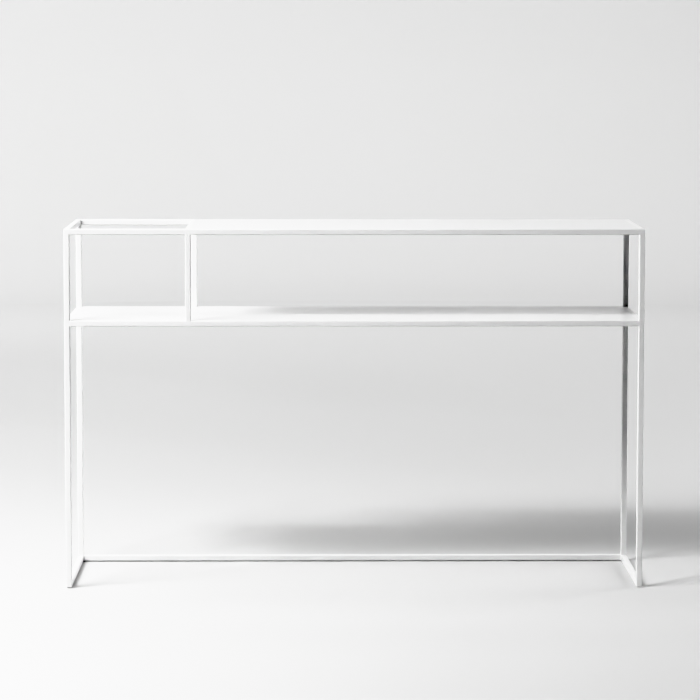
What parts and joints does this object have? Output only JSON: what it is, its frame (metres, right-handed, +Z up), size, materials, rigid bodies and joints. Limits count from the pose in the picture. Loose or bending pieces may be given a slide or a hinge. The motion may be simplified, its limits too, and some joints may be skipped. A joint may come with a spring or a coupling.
{
  "type": "console table",
  "caption": "Slim white steel console table of thin square bars, with a full-length shelf under the top and an open cell at one end of the top.",
  "frame": {"origin": "on the floor, under the middle of the table", "axes": "+X along the length, away from the end whose top is open; +Y from the front to the back, which has the rail on the floor; +Z up"},
  "size_m": [1.2, 0.3, 0.75],
  "materials": {
    "frame_coating": "fine matt white powder coat on square steel bar",
    "panel_coating": "fine matt white powder coat on steel sheet",
    "glide_plastic": "matt pale grey"
  },
  "bodies": {
    "root": {"leg_front_left": "frame_coating", "leg_front_right": "frame_coating", "leg_rear_left": "frame_coating", "leg_rear_right": "frame_coating", "top_front_rail": "frame_coating", "top_rear_rail": "frame_coating", "top_left_rail": "frame_coating", "top_cross_rail": "frame_coating", "top_right_rail": "frame_coating", "shelf_front_rail": "frame_coating", "shelf_rear_rail": "frame_coating", "shelf_left_rail": "frame_coating", "shelf_right_rail": "frame_coating", "upright_front": "frame_coating", "upright_rear": "frame_coating", "floor_runner_left": "frame_coating", "floor_runner_right": "frame_coating", "floor_rear_rail": "frame_coating", "top_panel": "panel_coating", "shelf_panel": "panel_coating", "glide_front_left": "glide_plastic", "glide_front_right": "glide_plastic", "glide_rear_left": "glide_plastic", "glide_rear_right": "glide_plastic"}
  },
  "joints": []
}
